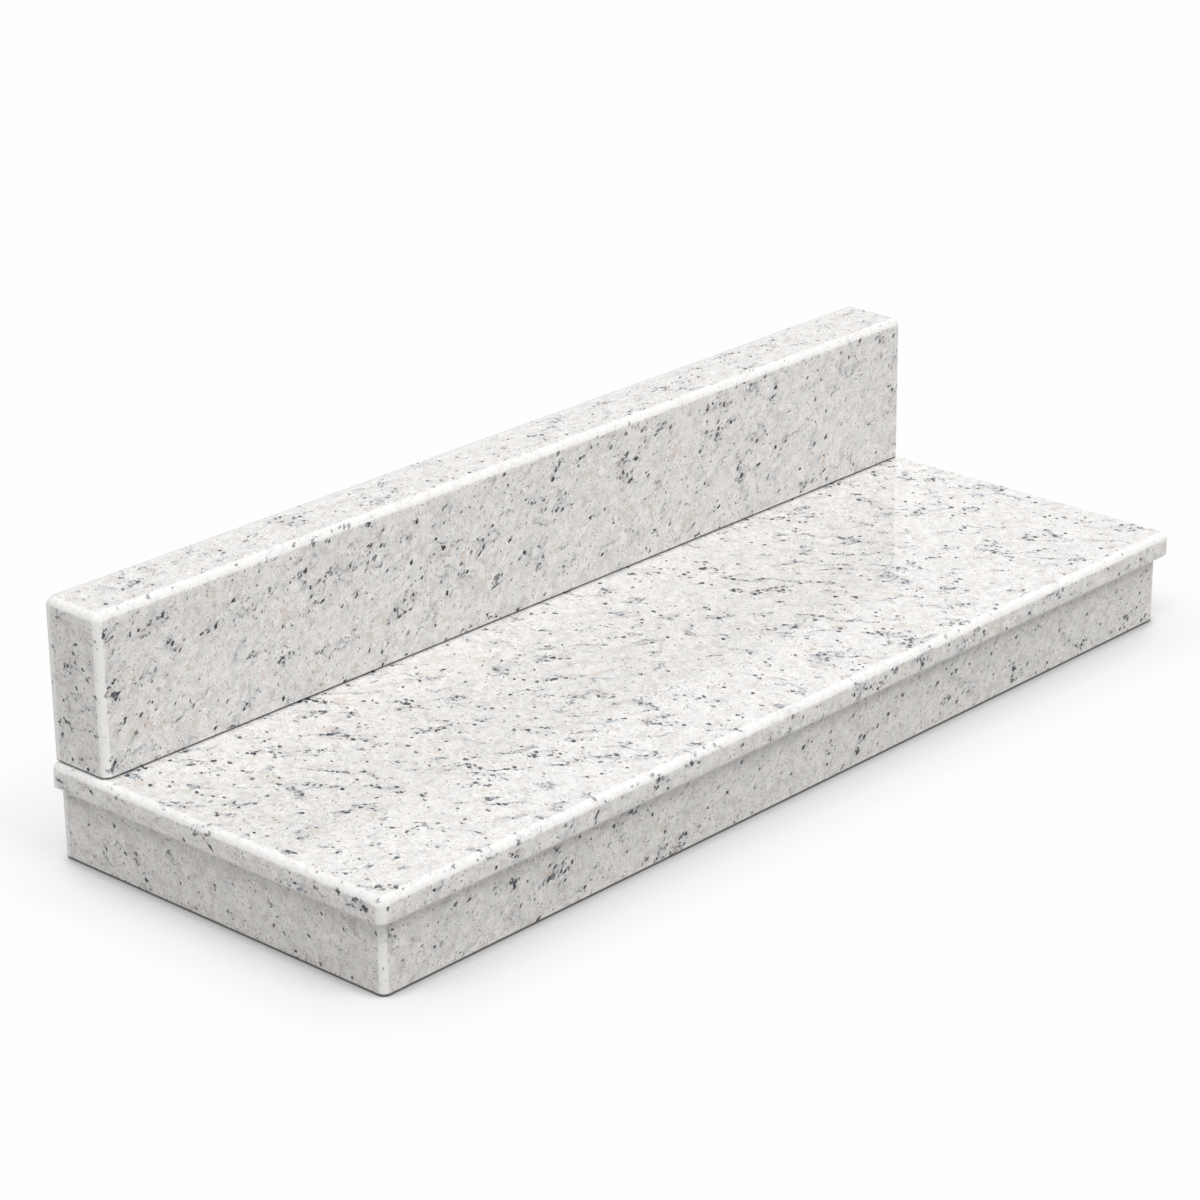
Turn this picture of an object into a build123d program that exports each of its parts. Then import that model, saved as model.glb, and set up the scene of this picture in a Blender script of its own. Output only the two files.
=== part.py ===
from build123d import *
import os

# A granite stair step of three polished pieces: a base block, a tread slab and an upstand.
#
# The tread slab lies on the base block and reaches past it at the front and at both ends.
# The upstand stands on the tread slab along its back edge. The three backs are flush.
# X runs along the step, -Y is its front and Z is up. The origin is on the floor, at the middle.

# Tread slab
TREAD_LENGTH = 1200.0
TREAD_DEPTH = 445.0
TREAD_THICKNESS = 28.0
TREAD_EDGE_RADIUS = 9.0
TREAD_UNDERSIDE_RADIUS = 4.0

# Base block, set back under the tread slab
BASE_HEIGHT = 76.0
FRONT_OVERHANG = 10.0
END_OVERHANG = 10.0
BASE_CORNER_RADIUS = 8.0

# Upstand, set in from the ends of the tread slab
UPSTAND_HEIGHT = 167.0
UPSTAND_THICKNESS = 73.0
UPSTAND_END_INSET = 5.0
UPSTAND_EDGE_RADIUS = 9.0

# Small chamfer on the edges that are sawn and not rounded
ARRIS = 1.5

# Levels and planes shared by the pieces
BACK_PLANE = TREAD_DEPTH / 2
TREAD_UNDERSIDE = BASE_HEIGHT
TREAD_TOP = TREAD_UNDERSIDE + TREAD_THICKNESS


def sawn_block(length, depth, height, underside):
    """A square block centred on X, with its back in the common back plane."""
    block = Box(length, depth, height, align=(Align.CENTER, Align.MAX, Align.MIN))
    return Pos(0, BACK_PLANE, underside) * block


def front_corners(block):
    """The two upright edges at the front."""
    return block.edges().filter_by(Axis.Z).group_by(Axis.Y)[0]


def exposed_top_edges(block):
    """The front and end edges of the top face."""
    top = block.faces().sort_by(Axis.Z)[-1]
    return top.edges() - top.edges().group_by(Axis.Y)[-1]


def underside_edges(block):
    """All edges of the bottom face."""
    return block.faces().sort_by(Axis.Z)[0].edges()


def back_edges(block):
    """All edges of the back face."""
    return block.faces().sort_by(Axis.Y)[-1].edges()


def make_base_block():
    """The plinth: upright front corners rounded, foot and back edges with a small arris."""
    length = TREAD_LENGTH - 2 * END_OVERHANG
    depth = TREAD_DEPTH - FRONT_OVERHANG
    block = sawn_block(length, depth, BASE_HEIGHT, 0)
    block = fillet(front_corners(block), BASE_CORNER_RADIUS)
    return chamfer(back_edges(block) + underside_edges(block), ARRIS)


def make_tread_slab():
    """The slab: front corners and exposed top edges fully rounded, underside eased."""
    block = sawn_block(TREAD_LENGTH, TREAD_DEPTH, TREAD_THICKNESS, TREAD_UNDERSIDE)
    block = fillet(front_corners(block) + exposed_top_edges(block), TREAD_EDGE_RADIUS)
    underside = underside_edges(block)
    eased = underside - underside.group_by(Axis.Y)[-1]
    block = fillet(eased, TREAD_UNDERSIDE_RADIUS)
    return chamfer(back_edges(block), ARRIS)


def make_upstand():
    """The upstand: front corners and exposed top edges rounded, foot with a small arris."""
    length = TREAD_LENGTH - 2 * UPSTAND_END_INSET
    block = sawn_block(length, UPSTAND_THICKNESS, UPSTAND_HEIGHT, TREAD_TOP)
    block = fillet(front_corners(block) + exposed_top_edges(block), UPSTAND_EDGE_RADIUS)
    return chamfer(back_edges(block) + underside_edges(block), ARRIS)


os.makedirs("parts", exist_ok=True)
export_step(make_base_block(), "parts/base_block.step")
export_step(make_tread_slab(), "parts/tread_slab.step")
export_step(make_upstand(), "parts/upstand.step")
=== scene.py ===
import math

import bmesh
import bpy
from mathutils import Euler, Matrix, Vector


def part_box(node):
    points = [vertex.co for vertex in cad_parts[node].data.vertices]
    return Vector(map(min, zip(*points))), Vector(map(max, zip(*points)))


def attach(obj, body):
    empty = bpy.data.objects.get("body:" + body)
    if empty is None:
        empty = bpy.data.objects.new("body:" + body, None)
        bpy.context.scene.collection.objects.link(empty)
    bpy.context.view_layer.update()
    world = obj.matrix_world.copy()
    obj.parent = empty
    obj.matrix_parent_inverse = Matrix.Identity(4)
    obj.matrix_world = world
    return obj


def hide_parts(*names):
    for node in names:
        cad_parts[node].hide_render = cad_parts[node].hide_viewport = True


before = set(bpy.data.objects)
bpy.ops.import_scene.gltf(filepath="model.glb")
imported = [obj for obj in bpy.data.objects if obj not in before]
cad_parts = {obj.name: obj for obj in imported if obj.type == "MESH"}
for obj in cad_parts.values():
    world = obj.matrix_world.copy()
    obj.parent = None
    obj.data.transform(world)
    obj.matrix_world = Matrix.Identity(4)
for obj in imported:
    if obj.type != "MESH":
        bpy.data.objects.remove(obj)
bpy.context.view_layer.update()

MM = 0.001

# Eased edges, as radii of the real stone
SLAB_EDGE = 9 * MM
SLAB_UNDERSIDE = 4 * MM
UPSTAND_EDGE = 9 * MM
BASE_CORNER = 8 * MM
ARRIS = 1.5 * MM

# How finely an eased edge is turned, and into how wide strips the flat faces are cut
EDGE_SEGMENTS = 14
UNDERSIDE_SEGMENTS = 8
ARRIS_SEGMENTS = 1
STRIP_WIDTH = 7.5 * MM
STRIP_MARGIN = 1.2 * MM

# How far the polisher's hand wanders along an eased edge, over what length and how unevenly
HAND_WANDER = 0.3 * MM
HAND_WAVE = 35 * MM
HAND_DETAIL = 2.0

# Where a normal leans this far from the flat faces, the edge counts as fully eased
EASED_LEAN = 0.06

# Height of the dark band painted along a stone's foot, and how softly it ends: painted contact shade
# where the base meets the floor, and a dark seam with painted shade where the upstand meets the tread
FLOOR_SHADE_BAND = 3.0 * MM
TREAD_JOINT_SHADE = 2.2 * MM
FOOT_BAND_BLUR = 0.8 * MM

# Points closer than this, in metres, lie in one plane, and closer than the other are one point
SAME_PLANE = 1e-5
SAME_POINT = 1e-6


def block_mesh(node):
    """A sharp block with the corners of a CAD node, as an open bmesh."""
    low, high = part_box(node)
    mesh = bmesh.new()
    place = Matrix.Translation((low + high) / 2) @ Matrix.Diagonal((*(high - low), 1))
    bmesh.ops.create_cube(mesh, size=1, matrix=place)
    return mesh, low, high


def near(a, b):
    return abs(a - b) < SAME_PLANE


def edges_where(mesh, test):
    """The edges whose two ends both pass a test on their place."""
    return [e for e in mesh.edges if all(test(v.co) for v in e.verts)]


def without_back(edges, back):
    """The edges that don't lie in the back plane."""
    return [e for e in edges if not all(near(v.co.y, back) for v in e.verts)]


def ease(mesh, edges, radius, segments):
    """Rounds edges to a radius, or cuts a plain chamfer where there is one segment."""
    bmesh.ops.bevel(
        mesh, geom=edges, offset=radius, offset_type="OFFSET", segments=segments,
        profile=0.5, affect="EDGES", clamp_overlap=True,
    )


def cut_across(mesh, axis, places):
    """Cuts a mesh into strips at right angles to an axis, so that its edges can wander."""
    normal = Vector([float(i == axis) for i in range(3)])
    for place in places:
        geometry = mesh.verts[:] + mesh.edges[:] + mesh.faces[:]
        bmesh.ops.bisect_plane(
            mesh, geom=geometry, plane_co=normal * place, plane_no=normal, dist=SAME_POINT,
        )


def strip_places(low, high, margin):
    """Evenly spaced cuts between two faces, the outer ones close to the rounded edges."""
    start, end = low + margin + STRIP_MARGIN, high - margin - STRIP_MARGIN
    count = max(1, round((end - start) / STRIP_WIDTH))
    return [start + (end - start) * i / count for i in range(count + 1)]


def mark_edges(mesh, low, dark_foot_height):
    """Marks how far each point is on an eased edge, an upright edge, a level face and the dark foot
    band of painted shade.
    """
    eased = mesh.verts.layers.float.new("eased_edge")
    upright = mesh.verts.layers.float.new("upright_edge")
    level = mesh.verts.layers.float.new("level_face")
    dark_foot = mesh.verts.layers.float.new("dark_foot_band")
    mesh.normal_update()
    for v in mesh.verts:
        lean = 1 - max(abs(c) for c in v.normal)
        v[eased] = min(1.0, lean / EASED_LEAN)
        v[upright] = max(0.0, 1 - 2 * abs(v.normal.z))
        v[level] = max(0.0, v.normal.z)
        v[dark_foot] = float(v.co.z < low.z + dark_foot_height)


def finish_block(name, mesh, low, dark_foot_height):
    """Marks a cut block's points and makes it an object with smooth faces."""
    mark_edges(mesh, low, dark_foot_height)
    data = bpy.data.meshes.new(name)
    mesh.to_mesh(data)
    mesh.free()
    data.polygons.foreach_set("use_smooth", [True] * len(data.polygons))
    piece = bpy.data.objects.new(name, data)
    bpy.context.scene.collection.objects.link(piece)
    return piece


def rounded_block(name, node, edge_radius, round_top, underside_radius, dark_foot_height):
    """One sawn and polished block: its exposed edges are eased, its back keeps a small arris."""
    mesh, low, high = block_mesh(node)
    front = edges_where(mesh, lambda p: near(p.y, low.y))
    eased = [e for e in front if not near(e.verts[0].co.z, e.verts[1].co.z)]
    if round_top:
        eased += without_back(edges_where(mesh, lambda p: near(p.z, high.z)), high.y)
    ease(mesh, eased, edge_radius, EDGE_SEGMENTS)
    foot = without_back(edges_where(mesh, lambda p: near(p.z, low.z)), high.y)
    segments = UNDERSIDE_SEGMENTS if underside_radius > ARRIS else ARRIS_SEGMENTS
    ease(mesh, foot, underside_radius, segments)
    back = edges_where(mesh, lambda p: near(p.y, high.y))
    ease(mesh, back, ARRIS, ARRIS_SEGMENTS)
    for axis in range(3):
        cut_across(mesh, axis, strip_places(low[axis], high[axis], edge_radius))
    if dark_foot_height:
        middle = low.z + dark_foot_height
        cut_across(mesh, 2, [middle - FOOT_BAND_BLUR / 2, middle + FOOT_BAND_BLUR / 2])
    return finish_block(name, mesh, low, dark_foot_height)


class Value:
    """A number among nodes, carried by a socket, that Python's own operators work on."""

    def __init__(self, graph, socket):
        self.graph = graph
        self.socket = socket

    def math(self, operation, *others, swapped=False):
        operands = [self, *others]
        if swapped:
            operands.reverse()
        inputs = {f"_{i}": v for i, v in enumerate(operands)}
        made = self.graph.node("ShaderNodeMath", {"operation": operation}, **inputs)
        return Value(self.graph, made.outputs[0])

    def __add__(self, other):
        return self.math("ADD", other)

    def __radd__(self, other):
        return self.math("ADD", other)

    def __sub__(self, other):
        return self.math("SUBTRACT", other)

    def __rsub__(self, other):
        return self.math("SUBTRACT", other, swapped=True)

    def __mul__(self, other):
        return self.math("MULTIPLY", other)

    def __rmul__(self, other):
        return self.math("MULTIPLY", other)

    def __truediv__(self, other):
        return self.math("DIVIDE", other)

    def __rtruediv__(self, other):
        return self.math("DIVIDE", other, swapped=True)

    def __abs__(self):
        return self.math("ABSOLUTE")

    def most(self, other):
        return self.math("MAXIMUM", other)

    def fade(self, start, end, low=0.0, high=1.0):
        """Runs smoothly from low to high as this number goes from start to end."""
        made = self.graph.node(
            "ShaderNodeMapRange", {"interpolation_type": "SMOOTHSTEP"},
            Value=self, From__Min=start, From__Max=end, To__Min=low, To__Max=high,
        )
        return Value(self.graph, made.outputs[0])


class Graph:
    """The nodes of one material, world or node group, and the few ways in which they are made."""

    def __init__(self, tree):
        self.tree = tree
        tree.nodes.clear()

    def node(self, kind, settings=(), **inputs):
        """Makes a node. An input is named, with __ for a space, or numbered from _0."""
        made = self.tree.nodes.new(kind)
        for key, value in dict(settings).items():
            setattr(made, key, value)
        for key, value in inputs.items():
            name = key.replace("__", " ")
            socket = made.inputs[int(key[1:])] if key[0] == "_" else made.inputs[name]
            if isinstance(value, Value):
                value = value.socket
            if isinstance(value, bpy.types.NodeSocket):
                self.tree.links.new(value, socket)
            else:
                socket.default_value = value
        return made

    def value(self, kind, settings=(), output=0, **inputs):
        return Value(self, self.node(kind, settings, **inputs).outputs[output])

    def attribute(self, name):
        """A number that a piece's mesh carries at each point."""
        return self.value("ShaderNodeAttribute", {"attribute_name": name}, output=2)

    def noise(self, place, scale, detail=2.0, roughness=0.5, distortion=0.0):
        return self.value(
            "ShaderNodeTexNoise", Vector=place, Scale=scale, Detail=detail,
            Roughness=roughness, Distortion=distortion,
        )

    def along(self, way, scale, offset):
        """The object's own coordinates, turned so that Z runs along a direction, and shifted."""
        coords = self.node("ShaderNodeTexCoord").outputs["Object"]
        turn = Vector(way).normalized().rotation_difference(Vector((0, 0, 1))).to_euler()
        turned = self.node(
            "ShaderNodeMapping", {"vector_type": "POINT"}, Vector=coords, Rotation=turn,
            Location=offset, Scale=(scale, scale, scale),
        )
        return turned.outputs[0]

    def cells(self, place, scale):
        """Voronoi cells: the distance to the nearest centre, and that cell's three random numbers."""
        made = self.node("ShaderNodeTexVoronoi", Vector=place, Scale=scale)
        parts = self.node("ShaderNodeSeparateColor", Color=made.outputs["Color"]).outputs
        return Value(self, made.outputs["Distance"]), [Value(self, p) for p in parts]

    def borders(self, place, scale):
        """The distance to the nearest border between Voronoi cells."""
        return self.value(
            "ShaderNodeTexVoronoi", {"feature": "DISTANCE_TO_EDGE"}, Vector=place, Scale=scale,
        )

    def bend(self, place, scale, reach):
        """Shifts places by a smooth noise, up to half the reach each way."""
        noise = self.node("ShaderNodeTexNoise", Vector=place, Scale=scale, Detail=2.0)
        shift = self.vector("SUBTRACT", noise.outputs["Color"], (0.5, 0.5, 0.5))
        shift = self.node("ShaderNodeVectorMath", {"operation": "SCALE"}, Vector=shift, Scale=reach)
        return self.vector("ADD", place, shift.outputs[0])

    def draw_out(self, place, pull):
        """Makes a pattern longer along Z: the smaller the pull, the longer."""
        return self.vector("MULTIPLY", place, (1.0, 1.0, pull))

    def mix(self, low, high, factor):
        """Goes from one colour to another as the factor goes from 0 to 1."""
        made = self.node("ShaderNodeMix", {"data_type": "RGBA"}, _0=factor, _6=low, _7=high)
        return made.outputs[2]

    def vector(self, operation, *inputs):
        made = self.node(
            "ShaderNodeVectorMath", {"operation": operation},
            **{f"_{i}": v for i, v in enumerate(inputs)},
        )
        return made.outputs[0]


def hand_eased_tree():
    """A node group that lets eased edges wander inwards a little, as hand polishing leaves them."""
    tree = bpy.data.node_groups.new("hand_eased", "GeometryNodeTree")
    face = tree.interface
    face.new_socket("Geometry", in_out="INPUT", socket_type="NodeSocketGeometry")
    for name in ("Wander", "Wave length", "Seed"):
        face.new_socket(name, in_out="INPUT", socket_type="NodeSocketFloat")
    face.new_socket("Stone", in_out="INPUT", socket_type="NodeSocketMaterial")
    face.new_socket("Geometry", in_out="OUTPUT", socket_type="NodeSocketGeometry")

    g = Graph(tree)
    given = g.node("NodeGroupInput").outputs
    wander, wave, seed = (Value(g, given[name]) for name in ("Wander", "Wave length", "Seed"))
    noise = g.value(
        "ShaderNodeTexNoise", {"noise_dimensions": "4D"}, W=seed, Scale=1 / wave, Detail=HAND_DETAIL,
    )
    eased = g.value("GeometryNodeInputNamedAttribute", {"data_type": "FLOAT"}, Name="eased_edge")
    inward = noise * eased * (wander * -1)
    normal = g.node("GeometryNodeInputNormal").outputs[0]
    offset = g.node(
        "ShaderNodeVectorMath", {"operation": "SCALE"}, Vector=normal, Scale=inward,
    ).outputs[0]
    moved = g.node("GeometryNodeSetPosition", Geometry=given["Geometry"], Offset=offset).outputs[0]
    real = g.node("GeometryNodeRealizeInstances", Geometry=moved).outputs[0]
    stone = g.node("GeometryNodeSetMaterial", Geometry=real, Material=given["Stone"]).outputs[0]
    g.node("NodeGroupOutput", Geometry=stone)
    return tree


def bake_modifier(piece, tree, values):
    """Gives a piece a node group with its inputs set, and leaves the result as a plain mesh."""
    modifier = piece.modifiers.new(tree.name, "NODES")
    modifier.node_group = tree
    for item in tree.interface.items_tree:
        if item.item_type == "SOCKET" and item.name in values:
            modifier[item.identifier] = values[item.name]
    graph = bpy.context.evaluated_depsgraph_get()
    result = bpy.data.meshes.new_from_object(piece.evaluated_get(graph))
    piece.modifiers.remove(modifier)
    piece.data = result
    result.name = piece.name


def paint(red, green, blue):
    return (red, green, blue, 1.0)


# The tints of the stone
WARM_WHITE = paint(0.858, 0.838, 0.818)
COOL_WHITE = paint(0.77, 0.77, 0.764)
FELDSPAR = paint(0.95, 0.935, 0.915)
QUARTZ_GREY = paint(0.50, 0.50, 0.50)
SMOKE = paint(0.36, 0.33, 0.30)
BEIGE = paint(0.64, 0.545, 0.475)
VEIN_BLUE = paint(0.27, 0.30, 0.35)
DUST_BROWN = paint(0.22, 0.17, 0.13)
DUST_GREY = paint(0.12, 0.13, 0.15)
MICA = paint(0.03, 0.036, 0.05)
# White of the painted highlight laid on eased edges
HIGHLIGHT_WHITE = paint(0.97, 0.965, 0.95)
# Grey of the painted shade along the foot of the base, and of the dark seam under the upstand, which
# is darkened further by painted shade
JOINT_AND_SHADE_GREY = paint(0.10, 0.092, 0.083)

# How many waves, cells or grains of a pattern lie along a metre of stone of size 1
CRYSTAL_BENDS = 230.0
CLOUDS = 42.0
MOTTLES = 125.0
TAN_PATCHES = 75.0
STREAKS = 400.0
CURLS = 110.0
VEIN_BENDS = 38.0
VEIN_NET = 30.0
VEIN_STRETCHES = 40.0
CROWD_BENDS = 60.0
CROWDS = 44.0
BROAD_CROWDS = 5.0
SHREDS = 250.0
DUST_GRAINS = 235.0
RIPPLES = 14.0

# How far a pattern is bent, and how far it is drawn out: the smaller the pull, the longer
CRYSTAL_REACH = 5.5 * MM
VEIN_REACH = 30 * MM
CROWD_REACH = 16 * MM
STREAK_PULL = 0.3
VEIN_PULL = 0.24
CROWD_PULL = 0.4

# Mica: grains along a metre, the share of them in a crowd and strewn elsewhere, how large they are,
# how much they differ and grow in a crowd, how soft their rims are, and how they differ in depth
MIDDLING_MICA = {
    "grains": 160.0, "in_crowd": 0.7, "strewn": 1.3, "large": 0.19, "differ": 0.16,
    "grow": 0.03, "rim": 0.05, "palest": 0.75, "full_from": 0.6,
}
LARGE_MICA = {
    "grains": 105.0, "in_crowd": 0.75, "strewn": 0.4, "large": 0.16, "differ": 0.12,
    "grow": 0.02, "rim": 0.04, "palest": 0.8, "full_from": 0.5,
}

# The polish, and the wax on a level face, that mirrors the upstand in the tread
STONE_IOR = 1.5
WAX_IOR = 1.7
WAX_ROUGHNESS = 0.09
POLISH_ROUGHNESS = 0.06
RIPPLE_DEPTH = 0.6 * MM
RIPPLE_STRENGTH = 0.06

# How each block was cut: the size and boldness of its grains, how many are strewn singly, how far
# they are drawn out, how much it is veined, its tone, its wax, the directions of its grains and of
# its veins, and the place in the rock that it was cut from. The tone is painted light and shade: it
# makes the base darker and the tread lighter for the light that falls on each
BASE_LOOK = {
    "size": 0.9, "bold": 0.02, "strewing": 0.07, "drawn_out": 0.5, "veining": 0.5,
    "tone": 0.97, "wax": 0.0, "grain": (1, 0.7, 1), "course": (1, 0, 0.44), "offset": (3.1, 1.7, 0.4),
}
TREAD_LOOK = {
    "size": 1.05, "bold": 0.055, "strewing": 0.08, "drawn_out": 0.7, "veining": 1.2,
    "tone": 1.03, "wax": 0.6, "grain": (0.5, 1, 0.6), "course": (0.68, -0.73, 0.2),
    "offset": (0.2, 5.3, 2.2),
}
UPSTAND_LOOK = {
    "size": 0.9, "bold": 0.02, "strewing": 0.07, "drawn_out": 0.5, "veining": 0.8,
    "tone": 1.0, "wax": 0.0, "grain": (1, 0.72, 1), "course": (1, 0, 0.44), "offset": (7.4, 0.6, 4.9),
}


def ground(g, bent, mottle, streak):
    """Feldspar white with grey clouds, beige patches, single crystals and short brown curls."""
    cloud = g.noise(bent, CLOUDS, roughness=0.6)
    colour = g.mix(WARM_WHITE, COOL_WHITE, cloud.fade(0.4, 0.62))
    colour = g.mix(colour, QUARTZ_GREY, mottle.fade(0.52, 0.30) * 0.68)
    colour = g.mix(colour, FELDSPAR, mottle.fade(0.5, 0.66) * 0.75)
    tan = g.noise(bent, TAN_PATCHES, roughness=0.65)
    colour = g.mix(colour, BEIGE, tan.fade(0.5, 0.7) * 0.68)
    colour = g.mix(colour, SMOKE, streak.fade(0.55, 0.78) * 0.42)
    colour = g.mix(colour, FELDSPAR, streak.fade(0.46, 0.26) * 0.4)
    ridge = abs(g.noise(bent, CURLS, detail=1.0, distortion=0.9) - 0.5)
    curl = ridge.fade(0.03, 0.006) * mottle.fade(0.45, 0.58)
    colour = g.mix(colour, SMOKE, curl * 0.75)
    rim = ridge.fade(0.02, 0.045) * ridge.fade(0.09, 0.05)
    return g.mix(colour, FELDSPAR, rim * 0.5)


def add_veins(g, colour, line, streak, veining):
    """Short, faint and broken lines that all run much the same way. Also where they run."""
    course = g.draw_out(g.bend(line, VEIN_BENDS, VEIN_REACH), VEIN_PULL)
    net = g.borders(course, VEIN_NET)
    chain = g.noise(line, VEIN_STRETCHES, detail=1.0).fade(0.5, 0.6) * veining
    colour = g.mix(colour, VEIN_BLUE, net.fade(0.10, 0.0) * chain * 0.13)
    vein = net.fade(0.030, 0.010) * chain * streak.fade(0.42, 0.58)
    colour = g.mix(colour, VEIN_BLUE, vein * 0.8)
    return colour, net.fade(0.09, 0.02) * chain * 0.7


def crowds(g, place, line, along_veins):
    """Where the dark grains crowd together: in patches, and along the veins."""
    strewn = g.draw_out(g.bend(line, CROWD_BENDS, CROWD_REACH), CROWD_PULL)
    broad = (g.noise(place, BROAD_CROWDS, detail=1.0) - 0.5) * 0.16
    crowd = g.noise(strewn, CROWDS, roughness=0.6) + broad
    return crowd.fade(0.61, 0.67).most(along_veins)


def add_shreds_and_dust(g, colour, drawn, crowded):
    """A bluish ground and dark shreds in a crowd, and fine brown and grey grains everywhere."""
    colour = g.mix(colour, VEIN_BLUE, crowded * 0.14)
    shred = g.noise(drawn, SHREDS, detail=1.0, roughness=0.6)
    shred = (shred + crowded * 0.17).fade(0.72, 0.78)
    colour = g.mix(colour, DUST_GREY, shred * 0.85)
    far, chance = g.cells(drawn, DUST_GRAINS)
    small = (chance[2] * 0.16 + 0.17 - far).fade(0.0, 0.08) * chance[0].fade(0.66, 0.70)
    dust = g.mix(DUST_BROWN, DUST_GREY, chance[1].fade(0.45, 0.6))
    return g.mix(colour, dust, small * chance[1].fade(0.0, 1.0, 0.28, 0.85))


def add_mica(g, colour, drawn, crowded, look, kind):
    """Dark grains of one kind, sparse on the ground and close in a crowd. Also where they lie."""
    far, chance = g.cells(drawn, kind["grains"])
    strewing = look["strewing"] * kind["strewn"]
    wanted = (crowded * kind["in_crowd"] + strewing - chance[0]).fade(0.0, 0.04)
    radius = chance[2] * kind["differ"] + crowded * kind["grow"] + kind["large"] + look["bold"]
    grain = (radius - far).fade(0.0, kind["rim"]) * wanted
    depth = chance[1].fade(0.0, kind["full_from"], kind["palest"], 1.0)
    return g.mix(colour, MICA, grain * depth), grain


def add_edges_and_foot(g, colour, mottle, streak, mica):
    """Eased edges get a painted highlight, a paler colour with an uneven border, and a dark band of
    painted shade lies along the foot.
    """
    # Painted highlight: eased edges are painted paler where they would catch the light, most on
    # upright edges
    highlight_band = (g.attribute("eased_edge") + mottle * 0.9 - 0.45).fade(0.15, 0.6)
    painted_highlight = highlight_band * (1 - mica * 0.5) * streak.fade(0.62, 0.45, 0.7, 1.0)
    colour = g.mix(colour, HIGHLIGHT_WHITE, painted_highlight * (g.attribute("upright_edge") * 0.22 + 0.74))
    # Painted shade: a dark band along the foot, as contact shade at the floor and as shade in the seam
    # on the tread
    return g.mix(colour, JOINT_AND_SHADE_GREY, g.attribute("dark_foot_band").fade(0.3, 0.7) * 0.9)


def granite(name, look):
    """Polished white granite. Grains are drawn out along one direction and veins along another."""
    material = bpy.data.materials.new(name)
    material.use_nodes = True
    g = Graph(material.node_tree)
    place = g.along(look["grain"], 1 / look["size"], look["offset"])
    line = g.along(look["course"], 1 / look["size"], look["offset"])
    bent = g.bend(place, CRYSTAL_BENDS, CRYSTAL_REACH)
    drawn = g.draw_out(bent, look["drawn_out"])
    mottle = g.noise(drawn, MOTTLES, detail=3.0, roughness=0.66)
    streak = g.noise(g.draw_out(bent, STREAK_PULL), STREAKS, roughness=0.6)

    colour = ground(g, bent, mottle, streak)
    colour, along_veins = add_veins(g, colour, line, streak, look["veining"])
    crowded = crowds(g, place, line, along_veins)
    colour = add_shreds_and_dust(g, colour, drawn, crowded)
    colour, middling = add_mica(g, colour, drawn, crowded, look, MIDDLING_MICA)
    colour, large = add_mica(g, colour, drawn, crowded, look, LARGE_MICA)
    mica = large.most(middling)
    # Painted light and shade: each block's colour is scaled by its tone for how it is lit
    colour = g.vector("MULTIPLY", colour, (look["tone"], look["tone"], look["tone"]))
    colour = add_edges_and_foot(g, colour, mottle, streak, mica)

    roughness = mottle * 0.05 + mica * 0.15 + POLISH_ROUGHNESS
    ripple = g.noise(place, RIPPLES, detail=1.0) * 0.8 + streak * 0.02
    bump = g.node("ShaderNodeBump", Strength=RIPPLE_STRENGTH, Distance=RIPPLE_DEPTH, Height=ripple)
    # Dark grains take less of the wax than the ground does
    waxed = g.attribute("level_face") * (1 - mica * 0.85) * look["wax"]
    shader = g.node(
        "ShaderNodeBsdfPrincipled", Base__Color=colour, Roughness=roughness,
        Normal=bump.outputs[0], IOR=STONE_IOR,
        Coat__Weight=waxed, Coat__Roughness=WAX_ROUGHNESS, Coat__IOR=WAX_IOR,
    )
    g.node("ShaderNodeOutputMaterial", Surface=shader.outputs[0])
    return material


def dress_pieces():
    """The three stones, each cut from its own block, in place of the plain CAD nodes."""
    tree = hand_eased_tree()
    stones = (
        ("base_stone", "base_block", (BASE_CORNER, False, ARRIS, FLOOR_SHADE_BAND), BASE_LOOK),
        ("tread_stone", "tread_slab", (SLAB_EDGE, True, SLAB_UNDERSIDE, 0.0), TREAD_LOOK),
        ("upstand_stone", "upstand", (UPSTAND_EDGE, True, ARRIS, TREAD_JOINT_SHADE), UPSTAND_LOOK),
    )
    for seed, (name, node, shape, look) in enumerate(stones):
        piece = rounded_block(name, node, *shape)
        stone = granite(f"granite_{node}", look)
        values = {"Wander": HAND_WANDER, "Wave length": HAND_WAVE, "Seed": float(seed), "Stone": stone}
        bake_modifier(piece, tree, values)
        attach(piece, "root")
        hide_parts(node)


# The photograph's camera, fitted to the edges of the step. Angles are in degrees.
PHOTO_SIDE = 1200
FOCAL_PIXELS = 3814.0
VIEW_AZIMUTH = -47.14
VIEW_ELEVATION = 21.94
VIEW_ROLL = -0.65
VIEW_DISTANCE = 3.690
LOOK_AT = Vector((-0.1519, -0.0725, 0.2116))
SENSOR_WIDTH = 36.0


def direction(azimuth, elevation):
    """The way from the step towards a place round it. Azimuth 0 is straight in front."""
    a, e = math.radians(azimuth), math.radians(elevation)
    return Vector((math.sin(a) * math.cos(e), -math.cos(a) * math.cos(e), math.sin(e)))


def add_camera():
    data = bpy.data.cameras.new("camera")
    data.sensor_width = SENSOR_WIDTH
    data.lens = FOCAL_PIXELS / PHOTO_SIDE * SENSOR_WIDTH
    camera = bpy.data.objects.new("camera", data)
    back = direction(VIEW_AZIMUTH, VIEW_ELEVATION)
    camera.location = LOOK_AT + back * VIEW_DISTANCE
    roll = Euler((0, 0, math.radians(VIEW_ROLL))).to_quaternion()
    camera.rotation_mode = "QUATERNION"
    camera.rotation_quaternion = (-back).to_track_quat("-Z", "Y") @ roll
    bpy.context.scene.collection.objects.link(camera)
    bpy.context.scene.camera = camera


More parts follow.
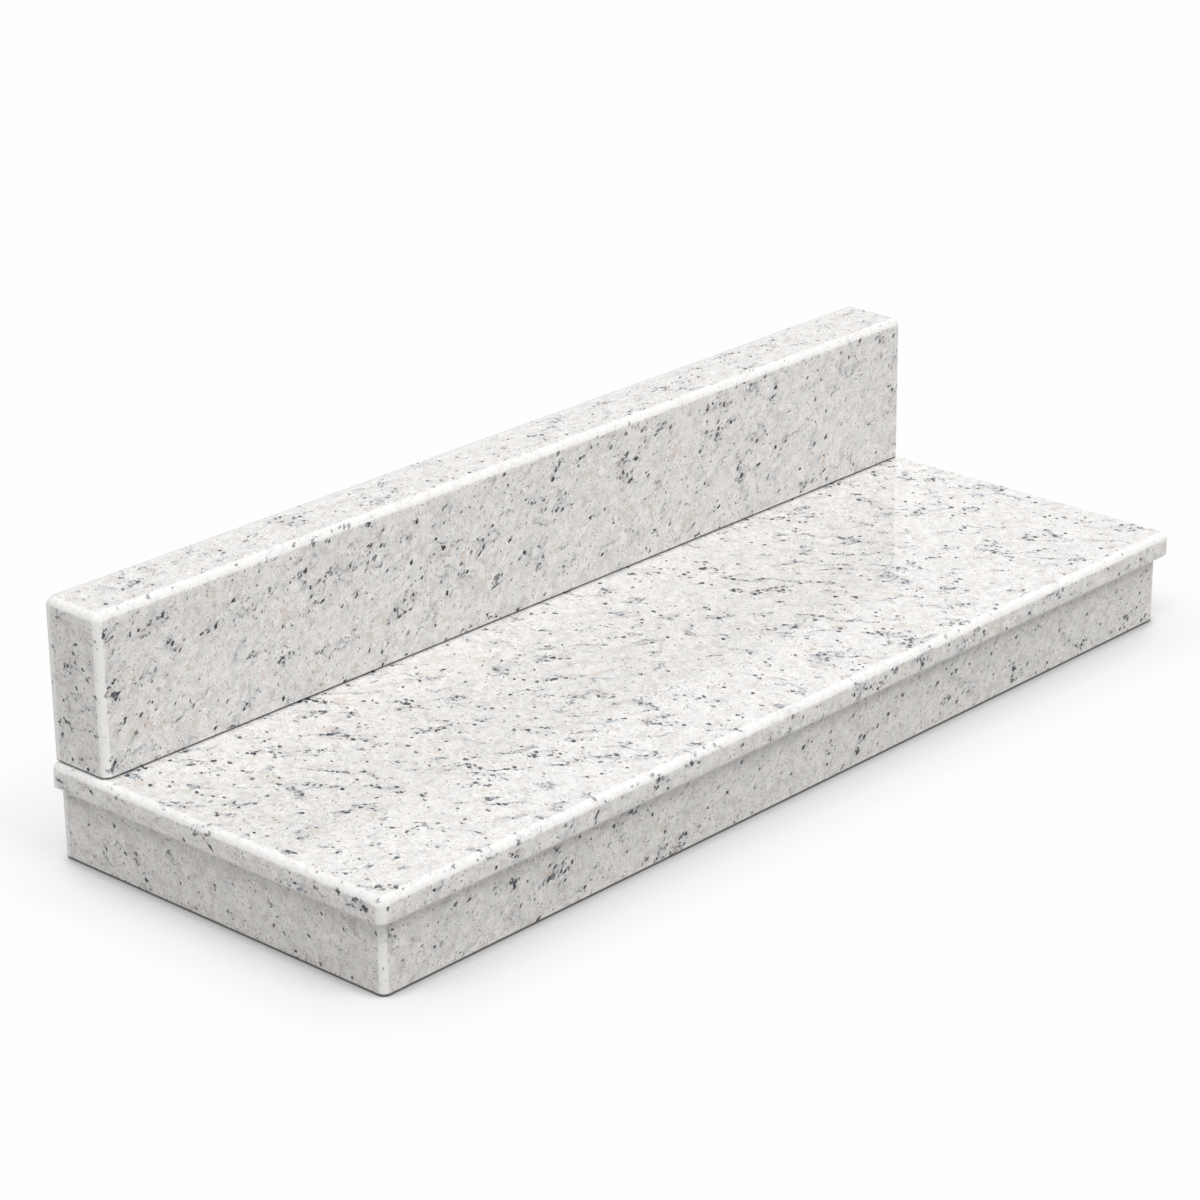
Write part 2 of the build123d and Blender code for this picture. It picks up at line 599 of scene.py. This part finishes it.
# The studio's light, at which a colour renders about as it is written. Angles are in degrees.
WHITE = paint(1, 1, 1)
BACKGROUND_STRENGTH = 1.0
WORLD_LIGHT = 0.42
SOFTBOXES = (
    {"name": "key", "azimuth": 6, "elevation": 59, "spread": 20, "strength": 0.36},
    {"name": "side", "azimuth": -62, "elevation": 64, "spread": 22, "strength": 0.37},
)


def seen_directly(g):
    """1 for rays that show the background itself, in the picture or in a reflection."""
    path = g.node("ShaderNodeLightPath").outputs
    rays = ("Is Camera Ray", "Is Glossy Ray", "Is Transmission Ray")
    camera, glossy, through = (Value(g, path[ray]) for ray in rays)
    return camera.most(glossy).most(through)


def add_world():
    """An even light from all round, behind which the background itself is white."""
    world = bpy.data.worlds.new("studio")
    bpy.context.scene.world = world
    world.use_nodes = True
    g = Graph(world.node_tree)
    light = g.node("ShaderNodeBackground", Color=WHITE, Strength=WORLD_LIGHT)
    white = g.node("ShaderNodeBackground", Color=WHITE, Strength=BACKGROUND_STRENGTH)
    both = g.node(
        "ShaderNodeMixShader", _0=seen_directly(g), _1=light.outputs[0], _2=white.outputs[0],
    )
    g.node("ShaderNodeOutputWorld", Surface=both.outputs[0])


def add_soft_light(name, azimuth, elevation, spread, strength):
    """A far, round softbox: an even light with a wide disc. At strength 1 it lights white to white."""
    data = bpy.data.lights.new(name, "SUN")
    data.energy = strength * math.pi
    data.angle = math.radians(spread)
    lamp = bpy.data.objects.new(name, data)
    lamp.rotation_mode = "QUATERNION"
    lamp.rotation_quaternion = direction(azimuth, elevation).to_track_quat("Z", "Y")
    bpy.context.scene.collection.objects.link(lamp)


# The floor: its colour where it is seen and where it only throws light back, and the glow that
# lifts it to white where nothing shades it
FLOOR_SIDE = 60.0
FLOOR_SEEN = paint(0.24, 0.24, 0.24)
FLOOR_BOUNCE = paint(0.50, 0.49, 0.475)
FLOOR_LIFT = 0.735

# How far from the stone a shadow is painted into the floor's glow, and how much of the lift that
# painted
# shadow takes: all round the stone, in the core close to it, and where they touch
SHADE_REACH = 110 * MM
SHADE_SAMPLES = 8
TOUCH_REACH = 12 * MM
TOUCH_SAMPLES = 4
WIDE_SHADE = 0.42
CORE_SHADE = 0.22
TOUCH_SHADE = 0.4


def shut_in(g, reach, samples):
    """How far a point is shut in by what stands within reach of it: from 0 in the open to 1."""
    settings = {"samples": samples}
    return 1 - g.value("ShaderNodeAmbientOcclusion", settings, output=1, Distance=reach)


def add_floor():
    """White studio floor that keeps the step's shadow from the lamps, with a painted shadow round the
    step in its glow.
    """
    half = FLOOR_SIDE / 2
    corners = [(-half, -half, 0), (half, -half, 0), (half, half, 0), (-half, half, 0)]
    data = bpy.data.meshes.new("floor")
    data.from_pydata(corners, [], [(0, 1, 2, 3)])
    floor = bpy.data.objects.new("floor", data)
    bpy.context.scene.collection.objects.link(floor)
    material = bpy.data.materials.new("studio_floor")
    material.use_nodes = True
    g = Graph(material.node_tree)
    seen = seen_directly(g)
    shut = shut_in(g, SHADE_REACH, SHADE_SAMPLES)
    touching = shut_in(g, TOUCH_REACH, TOUCH_SAMPLES)
    # Painted shadow: the floor's glow is dimmed by how far the stone shuts it in
    shade = 1 - shut * WIDE_SHADE - shut.fade(0.36, 0.50) * CORE_SHADE - touching * TOUCH_SHADE
    matt = g.node("ShaderNodeBsdfDiffuse", Color=g.mix(FLOOR_BOUNCE, FLOOR_SEEN, seen))
    lift = g.node("ShaderNodeEmission", Color=WHITE, Strength=seen * shade * FLOOR_LIFT)
    both = g.node("ShaderNodeAddShader", _0=matt.outputs[0], _1=lift.outputs[0])
    g.node("ShaderNodeOutputMaterial", Surface=both.outputs[0])
    data.materials.append(material)


dress_pieces()
add_camera()
add_world()
for softbox in SOFTBOXES:
    add_soft_light(**softbox)
add_floor()
bpy.context.scene.view_settings.view_transform = "Standard"
